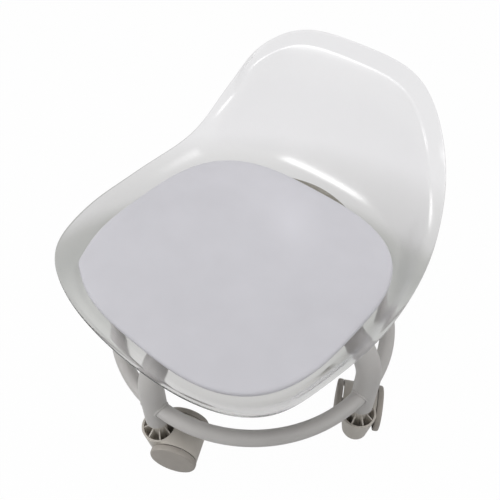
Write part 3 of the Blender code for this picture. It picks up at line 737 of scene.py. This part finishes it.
def bead(name, points):
    """A closed bead of weld that follows a loop of points, with slight ripples along it."""
    points = [Vector(point) for point in points]
    count = len(points)
    loops = []
    middle = sum(points, Vector()) / count
    for step, point in enumerate(points):
        along = (points[(step + 1) % count] - points[step - 1]).normalized()
        out = (point - middle).normalized()
        up = along.cross(out).normalized()
        out = up.cross(along)
        ripple = math.sin(math.tau * step * WELD_RIPPLES / WELD_RIPPLE_STEPS)
        size = WELD_RADIUS * (1 + WELD_RIPPLE * ripple)
        loops.append([point + size * (x * out + y * up) for x, y in polygon(WELD_SIDES, 1.0)])
    return mesh_from(name, lofted(loops, ring=True), SOFT_ANGLE)


def ring_weld_mesh(sign):
    """The bead where one end of a ring arc meets a leg that stands at +X."""
    points = []
    for x, z in polygon(RING_WELD_STEPS, RING_RADIUS):
        y = sign * math.sqrt(LEG_RADIUS**2 - x * x)
        points.append((LEG_CIRCLE_RADIUS + x, y, RING_HEIGHT + z))
    return bead("ring_weld", points)


def leg_weld_mesh(sign):
    """The bead where a butted leg meets the tube that passes through along X."""
    points = []
    for x, z in polygon(LEG_WELD_STEPS, LEG_WELD_SHARE * LEG_RADIUS):
        y = sign * math.sqrt(LEG_RADIUS**2 - z * z)
        points.append((x, y, LEG_TOP_LEVEL + z))
    return bead("leg_weld", points)


def screw_mesh():
    head_top = PAN_HEIGHT - SEAT_GAP
    head_bottom = head_top - SCREW_HEAD_HEIGHT
    tip = head_bottom - SCREW_LENGTH
    profile = [(0, tip), (SCREW_RADIUS * SCREW_TIP_SHARE, tip), (SCREW_RADIUS, tip + SCREW_TIP_HEIGHT)]
    level = tip + THREAD_START
    while level < head_bottom - SCREW_NECK:
        profile += [(SCREW_RADIUS, level), (SCREW_RADIUS - THREAD_DEPTH, level + THREAD_PITCH / 2)]
        level += THREAD_PITCH
    profile += [(SCREW_RADIUS, level), (SCREW_RADIUS, head_bottom)]
    profile += [(SCREW_HEAD_RADIUS, head_bottom), (SCREW_HEAD_RADIUS, head_top - SCREW_HEAD_ROUND)]
    profile += [(SCREW_HEAD_RADIUS - SCREW_HEAD_ROUND, head_top), (0, head_top)]
    socket = extruded(hexagon(SOCKET_ACROSS), head_top - SOCKET_DEPTH, head_top + CUT_PAST)
    return combined("screw", turned(profile, SMALL_SIDES), cuts=[socket])


def washer_mesh():
    top = PLATE_BOTTOM - SEAT_GAP
    bore = SCREW_RADIUS + BORE_GAP
    low = top - WASHER_THICKNESS
    profile = [(bore, low), (WASHER_RADIUS, low), (WASHER_RADIUS, top), (bore, top)]
    return bevelled("washer", mesh_from("washer", turned(profile, ROUND_SIDES)), WASHER_ROUND)


def nut_mesh():
    top = PLATE_BOTTOM - 2 * SEAT_GAP - WASHER_THICKNESS
    low = top - NUT_HEIGHT
    bore = rod(SCREW_RADIUS + BORE_GAP, low - CUT_PAST, top + CUT_PAST, SMALL_SIDES)
    body = extruded(hexagon(NUT_ACROSS), low, top)
    return bevelled("nut", combined("nut", body, cuts=[bore]), NUT_ROUND)


def socket_mesh():
    flange_low = LEG_END_HEIGHT - SEAT_GAP - SOCKET_FLANGE
    flange_high = LEG_END_HEIGHT - SEAT_GAP
    body = LEG_RADIUS - LEG_WALL - BORE_GAP
    bore = STEM_RADIUS + BORE_GAP
    top = flange_low + SOCKET_LENGTH
    profile = [
        (bore, flange_low),
        (LEG_RADIUS - LEG_WALL / 2, flange_low),
        (LEG_RADIUS - LEG_WALL / 5, flange_low + SOCKET_FLANGE / 5),
        (LEG_RADIUS, flange_low + SOCKET_FLANGE / 2),
        (LEG_RADIUS, flange_high),
        (body, flange_high),
        (body, top),
        (bore, top),
    ]
    return mesh_from("socket", turned(profile, ROUND_SIDES))


def stem_mesh():
    seat = COLLAR_TOP - STEM_SEAT_DEPTH
    low = COLLAR_TOP + SEAT_GAP
    high = STEM_FLANGE_TOP
    top = high + STEM_INSERTION
    profile = [
        (0, seat + SEAT_GAP),
        (STEM_RADIUS, seat + SEAT_GAP),
        (STEM_RADIUS, low),
        (STEM_FLANGE_RADIUS - EDGE_ROUND, low),
        (STEM_FLANGE_RADIUS, low + EDGE_ROUND),
        (STEM_FLANGE_RADIUS, high - EDGE_ROUND),
        (STEM_FLANGE_RADIUS - EDGE_ROUND, high),
        (STEM_RADIUS, high),
        (STEM_RADIUS, top - STEM_RADIUS * STEM_TIP_SHARE),
        (STEM_RADIUS * (1 - STEM_TIP_SHARE), top),
        (0, top),
    ]
    return mesh_from("stem", turned(profile, ROUND_SIDES))


def laid_on_axle(bm):
    return moved(rotated(bm, -math.pi / 2, "X"), x=TRAIL, z=WHEEL_RADIUS)


def stood_up(bm):
    return moved(rotated(bm, math.pi / 2, "X"), x=TRAIL, z=WHEEL_RADIUS)


def swept(end):
    sweep = end + HOOD_REAR_DROP
    return [-HOOD_REAR_DROP + sweep * step / HOOD_STEPS for step in range(HOOD_STEPS + 1)]


def fender():
    outer = WHEEL_RADIUS - HOOD_INSET
    inner = outer - HOOD_WALL
    turns = swept(HOOD_FRONT_END)
    outline = arc(outer, turns) + arc(inner, turns[::-1])
    return stood_up(extruded(outline, -HOOD_HALF_WIDTH, HOOD_HALF_WIDTH))


def web():
    reach = WHEEL_RADIUS - HOOD_INSET - HOOD_WALL / 2
    outline = arc(reach, swept(math.pi))
    outline += [(-TRAIL, BOSS_BOTTOM + WEB_FOOT - WHEEL_RADIUS), (0.0, -WEB_UNDER_AXLE)]
    return stood_up(extruded(outline, -WEB_THICKNESS / 2, WEB_THICKNESS / 2))


def ribs():
    inner = COLLAR_RADIUS - BOSS_WALL / 2
    outer = BOSS_TOP_RADIUS - BOSS_WALL / 2
    low = BOSS_FLOOR - BOSS_WALL / 2
    outline = [
        (inner, low),
        (BOSS_BOTTOM_RADIUS - BOSS_WALL / 4, low),
        (outer - BOSS_WALL / 4, BOSS_TOP - RIB_RIM_DROP),
        (inner, BOSS_TOP + RIB_COLLAR_RISE),
    ]
    made = []
    for step in range(RIB_COUNT):
        rib = rotated(extruded(outline, -RIB_THICKNESS / 2, RIB_THICKNESS / 2), math.pi / 2, "X")
        made.append(rotated(rib, math.tau * (step + 0.5) / RIB_COUNT, "Z"))
    return made


def hood_mesh():
    """The moulded body of a caster, with its stem on Z and its wheels behind at +X."""
    edge = BOSS_WALL / 2
    boss = turned(
        [
            (0, BOSS_BOTTOM),
            (BOSS_BOTTOM_RADIUS - edge, BOSS_BOTTOM),
            (BOSS_BOTTOM_RADIUS - CORNER_SHARE * edge, BOSS_BOTTOM + CORNER_SHARE * edge),
            (BOSS_BOTTOM_RADIUS, BOSS_BOTTOM + edge),
            (BOSS_TOP_RADIUS, BOSS_TOP),
            (0, BOSS_TOP),
        ],
        LARGE_SIDES,
    )
    axle_boss = laid_on_axle(rod(AXLE_BOSS_RADIUS, -AXLE_BOSS_HALF_WIDTH, AXLE_BOSS_HALF_WIDTH))
    cavity = turned(
        [
            (0, BOSS_FLOOR),
            (BOSS_BOTTOM_RADIUS - BOSS_WALL, BOSS_FLOOR),
            (BOSS_TOP_RADIUS - BOSS_WALL, BOSS_TOP),
            (BOSS_TOP_RADIUS - BOSS_WALL, COLLAR_TOP),
            (0, COLLAR_TOP),
        ],
        LARGE_SIDES,
    )
    cup = bmesh.new()
    cup.from_mesh(combined("hood_cup", boss, [fender(), web(), axle_boss], [cavity]))
    low = BOSS_FLOOR - BOSS_WALL / 2
    collar_outline = [(0, low), (COLLAR_RADIUS, low), (COLLAR_RADIUS, COLLAR_TOP), (0, COLLAR_TOP)]
    collar = turned(collar_outline, ROUND_SIDES)
    stem_bore = rod(STEM_RADIUS + BORE_GAP, COLLAR_TOP - STEM_SEAT_DEPTH, COLLAR_TOP + CUT_PAST)
    bore = rod(AXLE_RADIUS + BORE_GAP, -HOOD_HALF_WIDTH, HOOD_HALF_WIDTH, SMALL_SIDES)
    axle_bore = laid_on_axle(bore)
    return bevelled("hood", combined("hood", cup, [collar, *ribs()], [stem_bore, axle_bore]))


def wheel_mesh():
    """A wheel turned about Z, its domed face up: a dished disc with a rounded tread and a blind hub."""
    rim = WHEEL_RADIUS
    inner = WHEEL_INNER_FACE
    face = inner + TREAD_WIDTH
    dome = face + DOME_HEIGHT
    bore = AXLE_RADIUS + BORE_GAP
    recess = face - DISC_THICKNESS
    ring_inside = rim - DISC_THICKNESS
    dome_edge = rim - DOME_INSET
    profile = [
        (0, dome - AXLE_END_COVER),
        (bore, dome - AXLE_END_COVER),
        (bore, HUB_INNER_FACE),
        (HUB_RADIUS - EDGE_ROUND, HUB_INNER_FACE),
        (HUB_RADIUS, HUB_INNER_FACE + EDGE_ROUND),
        (HUB_RADIUS, recess),
        (ring_inside, recess),
        (ring_inside, inner),
        *((rim - inset, inner + out) for inset, out in TREAD_INNER_ROUND),
        *((rim - inset, face + out) for inset, out in TREAD_OUTER_ROUND),
        (rim - SHOULDER_INSET, face + SHOULDER_SHARE * DOME_HEIGHT),
        (dome_edge, face + (1 - DOME_SHARE) * DOME_HEIGHT),
    ]
    for t in shares(DOME_STEPS):
        radius = dome_edge * (1 - t)
        profile.append((radius, dome - DOME_SHARE * DOME_HEIGHT * (radius / dome_edge) ** 2))
    return mesh_from("wheel", turned(profile, WHEEL_SIDES), WHEEL_ANGLE)


def axle_mesh():
    half = WHEEL_INNER_FACE + TREAD_WIDTH + DOME_HEIGHT - AXLE_END_COVER - SEAT_GAP
    return bevelled("axle", mesh_from("axle", rod(AXLE_RADIUS, -half, half, SMALL_SIDES)))


class Nodes:
    """A short way to write a material's node tree."""

    def __init__(self, name):
        self.material = bpy.data.materials.new(name)
        self.material.use_nodes = True
        self.tree = self.material.node_tree
        self.shader = self.tree.nodes["Principled BSDF"]
        self.output = self.tree.nodes["Material Output"]
        self.where = self.add("ShaderNodeTexCoord").outputs["Object"]

    def add(self, kind, **settings):
        node = self.tree.nodes.new(kind)
        for key, value in settings.items():
            setattr(node, key, value)
        return node

    def link(self, source, target):
        self.tree.links.new(source, target)

    def feed(self, socket, source):
        self.link(source, self.shader.inputs[socket])

    def noise(self, scale, detail=2.0):
        node = self.add("ShaderNodeTexNoise")
        self.link(self.where, node.inputs["Vector"])
        node.inputs["Scale"].default_value = scale
        node.inputs["Detail"].default_value = detail
        return node.outputs["Fac"]

    def cells(self, scale):
        node = self.add("ShaderNodeTexVoronoi", feature="SMOOTH_F1")
        self.link(self.where, node.inputs["Vector"])
        node.inputs["Scale"].default_value = scale
        return node.outputs["Distance"]

    def ramp(self, factor, stops):
        node = self.add("ShaderNodeValToRGB")
        self.link(factor, node.inputs["Fac"])
        ramp = node.color_ramp
        while len(ramp.elements) < len(stops):
            ramp.elements.new(0.5)
        for element, (place, colour) in zip(ramp.elements, stops):
            element.position = place
            element.color = (*colour, 1.0)
        return node.outputs["Color"]

    def mottled(self, factor, low, high):
        return self.ramp(factor, tuple(zip(MOTTLE, (low, high))))

    def blend(self, factor, first, second):
        """A mix of two colours, each given as a socket or as a value."""
        node = self.add("ShaderNodeMix", data_type="RGBA")
        self.link(factor, node.inputs["Factor"])
        for place, colour in zip(MIX_INPUTS, (first, second)):
            if isinstance(colour, tuple):
                node.inputs[place].default_value = colour
            else:
                self.link(colour, node.inputs[place])
        return node.outputs[MIX_OUTPUT]

    def span(self, factor, low, high):
        node = self.add("ShaderNodeMapRange")
        self.link(factor, node.inputs["Value"])
        node.inputs["To Min"].default_value = low
        node.inputs["To Max"].default_value = high
        return node.outputs["Result"]

    def bump(self, height, strength, distance, under=None):
        node = self.add("ShaderNodeBump")
        self.link(height, node.inputs["Height"])
        node.inputs["Strength"].default_value = strength
        node.inputs["Distance"].default_value = distance
        if under is not None:
            self.link(under, node.inputs["Normal"])
        return node.outputs["Normal"]

    def surface(self, factor, first, second):
        """The face of the material, mixed from two shaders."""
        node = self.add("ShaderNodeMixShader")
        self.link(factor, node.inputs["Fac"])
        self.link(first, node.inputs[1])
        self.link(second, node.inputs[2])
        self.link(node.outputs["Shader"], self.output.inputs["Surface"])


def largest(tree, values):
    """The largest of several values."""
    most = values[0]
    for value in values[1:]:
        node = tree.nodes.new("ShaderNodeMath")
        node.operation = "MAXIMUM"
        tree.links.new(most, node.inputs[0])
        tree.links.new(value, node.inputs[1])
        most = node.outputs["Value"]
    return most


def shaded(colour, share):
    return tuple(channel * share for channel in colour)


def clear_material():
    """Clear plastic under a smooth coat, which casts almost no shadow."""
    made = Nodes("clear_polycarbonate")
    shader = made.shader
    made.feed("Base Color", made.mottled(made.noise(9.0), (0.875, 0.87, 0.88), (0.89, 0.885, 0.895)))
    made.feed("Roughness", made.span(made.noise(60.0), 0.16, 0.21))
    shader.inputs["Transmission Weight"].default_value = 1.0
    shader.inputs["IOR"].default_value = 1.1
    shader.inputs["Specular IOR Level"].default_value = 0.15
    shader.inputs["Coat Weight"].default_value = 1.0
    shader.inputs["Coat IOR"].default_value = 1.5
    made.feed("Coat Roughness", made.span(made.noise(40.0), 0.19, 0.24))
    clear = made.add("ShaderNodeBsdfTransparent")
    clear.inputs["Color"].default_value = (0.97, 0.97, 0.97, 1.0)
    path = made.add("ShaderNodeLightPath")
    made.surface(path.outputs["Is Shadow Ray"], shader.outputs["BSDF"], clear.outputs["BSDF"])
    return made.material


def pad_material():
    """Fine-grained leatherette with a painted highlight, a soft lighter patch on its top; below a level
    just above the pan it is dark, as painted shade.
    """
    made = Nodes("pad_leatherette")
    shader = made.shader
    tone = made.noise(26.0, 3.0)
    cover = made.mottled(tone, shaded(PAD_COLOUR, 0.97), shaded(PAD_COLOUR, 1.02))
    # Painted shade: the cushion is dark below a level just above the pan, like the dark sheet past its
    # back edge
    painted_shade = made.mottled(tone, (0.20, 0.19, 0.165), (0.23, 0.22, 0.19))
    split = made.add("ShaderNodeSeparateXYZ")
    made.link(made.where, split.inputs["Vector"])
    above = made.add("ShaderNodeMapRange")
    made.link(split.outputs["Z"], above.inputs["Value"])
    above.inputs["From Min"].default_value = PAINTED_SHADE_LEVEL - PAINTED_SHADE_BLEND
    above.inputs["From Max"].default_value = PAINTED_SHADE_LEVEL + PAINTED_SHADE_BLEND
    # Painted highlight: a soft lighter patch on the cushion's top
    spot = made.add("ShaderNodeMapping", vector_type="TEXTURE")
    made.link(made.where, spot.inputs["Vector"])
    spot.inputs["Location"].default_value = PAINTED_HIGHLIGHT_CENTRE
    spot.inputs["Rotation"].default_value = (0.0, 0.0, PAINTED_HIGHLIGHT_TURN)
    spot.inputs["Scale"].default_value = PAINTED_HIGHLIGHT_REACH
    highlight_spot = made.add("ShaderNodeTexGradient", gradient_type="QUADRATIC_SPHERE")
    made.link(spot.outputs["Vector"], highlight_spot.inputs["Vector"])
    highlighted = made.blend(highlight_spot.outputs["Fac"], cover, (*shaded(PAD_COLOUR, PAINTED_HIGHLIGHT_SHARE), 1.0))
    made.feed("Base Color", made.blend(above.outputs["Result"], painted_shade, highlighted))
    grain = made.cells(900.0)
    made.feed("Roughness", made.span(grain, 0.62, 0.5))
    fine = made.bump(grain, 0.10, 0.0003)
    made.feed("Normal", made.bump(made.noise(35.0, 1.0), 0.10, 0.0012, fine))
    shader.inputs["Sheen Weight"].default_value = 0.08
    shader.inputs["Sheen Roughness"].default_value = 0.5
    return made.material


# Painted shade: the colour of the dark sheet past the cushion's back edge
def painted_shade_material():
    made = Nodes("painted_shade_sheet")
    tone = made.noise(60.0)
    made.feed("Base Color", made.mottled(tone, (0.19, 0.18, 0.155), (0.23, 0.22, 0.19)))
    made.feed("Roughness", made.span(tone, 0.6, 0.75))
    return made.material


def paint_material():
    made = Nodes("powder_coat")
    tone = made.noise(40.0, 3.0)
    made.feed("Base Color", made.mottled(tone, shaded(PAINT_COLOUR, 0.97), shaded(PAINT_COLOUR, 1.03)))
    peel = made.noise(1100.0, 1.0)
    made.feed("Roughness", made.span(peel, 0.38, 0.5))
    made.feed("Normal", made.bump(peel, 0.12, 0.0002))
    return made.material


def plastic_material(name, colour):
    made = Nodes(name)
    tone = made.noise(70.0, 3.0)
    made.feed("Base Color", made.mottled(tone, shaded(colour, 0.96), shaded(colour, 1.03)))
    grain = made.noise(1500.0, 1.0)
    made.feed("Roughness", made.span(grain, 0.42, 0.56))
    made.feed("Normal", made.bump(grain, 0.10, 0.0002))
    return made.material


def steel_material():
    made = Nodes("zinc_steel")
    tone = made.noise(220.0, 4.0)
    made.feed("Base Color", made.mottled(tone, (0.50, 0.50, 0.49), (0.62, 0.62, 0.60)))
    made.feed("Roughness", made.span(tone, 0.26, 0.42))
    made.feed("Normal", made.bump(made.noise(900.0), 0.06, 0.0002))
    made.shader.inputs["Metallic"].default_value = 1.0
    return made.material


def floor_material():
    """A floor that glows white; through the clear shell it shows a painted shadow, a soft darker ring
    round the stool.
    """
    made = Nodes("studio_floor")
    greys = ((0.0, (0.48, 0.48, 0.48)), (1.0, (0.50, 0.50, 0.50)))
    made.feed("Base Color", made.ramp(made.noise(3.0), greys))
    made.shader.inputs["Roughness"].default_value = 0.9
    white = made.add("ShaderNodeEmission")
    white.inputs["Strength"].default_value = 1.0
    path = made.add("ShaderNodeLightPath")
    away = made.add("ShaderNodeVectorMath", operation="DISTANCE")
    made.link(made.where, away.inputs[0])
    away.inputs[1].default_value = PAINTED_SHADOW_CENTRE
    # Painted shadow round the stool, for rays through the shell
    shadow_ring = made.ramp(away.outputs["Value"], PAINTED_SHADOW)
    made.link(made.blend(path.outputs["Is Transmission Ray"], WHITE, shadow_ring), white.inputs["Color"])
    glows = []
    for ray, level in zip(SEEN_RAYS, FLOOR_GLOW):
        glow = made.add("ShaderNodeMath", operation="MULTIPLY")
        made.link(path.outputs[ray], glow.inputs[0])
        glow.inputs[1].default_value = level
        glows.append(glow.outputs["Value"])
    made.surface(largest(made.tree, glows), made.shader.outputs["BSDF"], white.outputs["Emission"])
    return made.material


def piece(name, mesh, finish, body, node, matrix=None):
    mesh = mesh.copy()
    mesh.name = name
    if matrix is not None:
        mesh.transform(matrix)
    mesh.materials.clear()
    mesh.materials.append(finish)
    item = placed(name, mesh)
    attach(item, body)
    if node:
        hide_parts(node)
    return item


def build_seat(finish):
    piece("shell_moulding", shell_mesh(), finish["clear"], "stool", "seat_shell")
    pad = piece("pad_cushion", pad_mesh(), finish["pad"], "stool", "seat_pad")
    # A dark sheet as painted shade past the cushion's back edge
    piece("pad_painted_shade_sheet", painted_shade_mesh(), finish["painted_shade"], "stool", None)
    piece("plate_steel", plate_mesh(), finish["paint"], "stool", "seat_plate")
    fasteners = {"screw": screw_mesh(), "washer": washer_mesh(), "nut": nut_mesh()}
    for number, (x, y) in enumerate(screw_places(), 1):
        spot = Matrix.Translation((x, y, 0))
        for kind, mesh in fasteners.items():
            name = f"{kind}_{number}"
            piece(name, mesh, finish["steel"], "stool", f"seat_{name}", spot)


def build_base(finish):
    def painted(name, mesh, node, turn=0.0):
        piece(name, mesh, finish["paint"], "stool", node, Matrix.Rotation(turn, 4, "Z"))

    quarter = math.pi / 2
    painted("side_legs_tube", through_leg_mesh(), "side_legs")
    leg = butted_leg_mesh()
    painted("front_leg_tube", leg, "front_leg", -quarter)
    painted("back_leg_tube", leg, "back_leg", quarter)
    ring = ring_arc_mesh()
    for step, name in enumerate(RINGS):
        painted(f"ring_{name}_tube", ring, f"ring_{name}", step * quarter)
    for sign, side in ((1, "a"), (-1, "b")):
        weld = ring_weld_mesh(sign)
        for step, name in enumerate(("left", "back", "right", "front")):
            painted(f"ring_weld_{name}_{side}", weld, None, step * quarter)
    painted("leg_weld_front", leg_weld_mesh(-1), None)
    painted("leg_weld_back", leg_weld_mesh(1), None)


def build_casters(finish):
    hood, wheel, axle = hood_mesh(), wheel_mesh(), axle_mesh()
    stem, socket = stem_mesh(), socket_mesh()
    outside = {"left": -math.pi / 2, "right": math.pi / 2}
    for name, (x, y), trail in CASTERS:
        post = Matrix.Translation((x * LEG_CIRCLE_RADIUS, y * LEG_CIRCLE_RADIUS, 0))
        piece(f"{name}_socket", socket, finish["plastic"], "stool", f"{name}_stem_socket", post)
        piece(f"{name}_stem", stem, finish["steel"], "stool", f"{name}_caster_stem", post)
        swivel = post @ Matrix.Rotation(trail, 4, "Z")
        caster = f"{name}_caster"
        piece(f"{name}_hood", hood, finish["plastic"], caster, f"{caster}_hood", swivel)
        axle_at = swivel @ Matrix.Translation((TRAIL, 0, WHEEL_RADIUS))
        across = axle_at @ Matrix.Rotation(math.pi / 2, 4, "X")
        piece(f"{name}_axle", axle, finish["steel"], caster, f"{caster}_axle", across)
        for side, turn in outside.items():
            spot = axle_at @ Matrix.Rotation(turn, 4, "X")
            body = f"{name}_wheel_{side}"
            node = f"{caster}_wheel_{side}"
            piece(f"{body}_disc", wheel, finish["wheel"], body, node, spot)


def build_camera():
    data = bpy.data.cameras.new("camera")
    data.lens = LENS
    data.sensor_width = SENSOR
    data.clip_start, data.clip_end = CLIP
    camera = placed("camera", data)
    flat = math.cos(ELEVATION)
    back = Vector((math.sin(AZIMUTH) * flat, -math.cos(AZIMUTH) * flat, math.sin(ELEVATION)))
    right = Vector((math.cos(AZIMUTH), math.sin(AZIMUTH), 0))
    aim = AIM_RIGHT * right + Vector((0, 0, AIM_HEIGHT))
    camera.location = aim + DISTANCE * back
    camera.rotation_mode = "QUATERNION"
    camera.rotation_quaternion = (-back).to_track_quat("-Z", "Y")
    bpy.context.scene.camera = camera


def area_light(name, place, size, power):
    data = bpy.data.lights.new(name, "AREA")
    data.shape = "RECTANGLE"
    data.size, data.size_y = size
    data.energy = power
    lamp = placed(name, data)
    lamp.location = place
    lamp.rotation_mode = "QUATERNION"
    lamp.rotation_quaternion = (Vector(LAMP_AIM) - Vector(place)).to_track_quat("-Z", "Y")
    lamp.visible_transmission = False
    lamp.visible_glossy = name != "overhead"


def build_floor():
    bm = bmesh.new()
    bmesh.ops.create_grid(bm, x_segments=8, y_segments=8, size=FLOOR_HALF_SIDE)
    mesh = bpy.data.meshes.new("studio_floor")
    bm.to_mesh(mesh)
    bm.free()
    mesh.materials.append(floor_material())
    floor = placed("studio_floor", mesh)


def build_world():
    """White all round as seen, and dimmer as a light on the stool."""
    world = bpy.data.worlds.new("studio")
    bpy.context.scene.world = world
    world.use_nodes = True
    tree = world.node_tree
    background = tree.nodes["Background"]
    background.inputs["Color"].default_value = WHITE
    path = tree.nodes.new("ShaderNodeLightPath")
    level = tree.nodes.new("ShaderNodeMapRange")
    level.inputs["To Min"].default_value = WORLD_LIGHT
    level.inputs["To Max"].default_value = 1.0
    seen = largest(tree, [path.outputs[ray] for ray in SEEN_RAYS])
    tree.links.new(seen, level.inputs["Value"])
    tree.links.new(level.outputs["Result"], background.inputs["Strength"])


def build_studio():
    build_floor()
    build_world()
    for lamp in LAMPS:
        area_light(*lamp)


def main():
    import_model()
    bpy.context.scene.view_settings.view_transform = "Standard"
    finish = {
        "clear": clear_material(),
        "pad": pad_material(),
        "painted_shade": painted_shade_material(),
        "paint": paint_material(),
        # Painted light on the caster plastic, painted shade on the wheels
        "plastic": plastic_material("caster_plastic", CASTER_PAINTED_LIGHT_COLOUR),
        "wheel": plastic_material("wheel_plastic_painted_shade", WHEEL_PAINTED_SHADE_COLOUR),
        "steel": steel_material(),
    }
    build_camera()
    build_studio()
    build_seat(finish)
    build_base(finish)
    build_casters(finish)
    bpy.context.view_layer.update()


main()
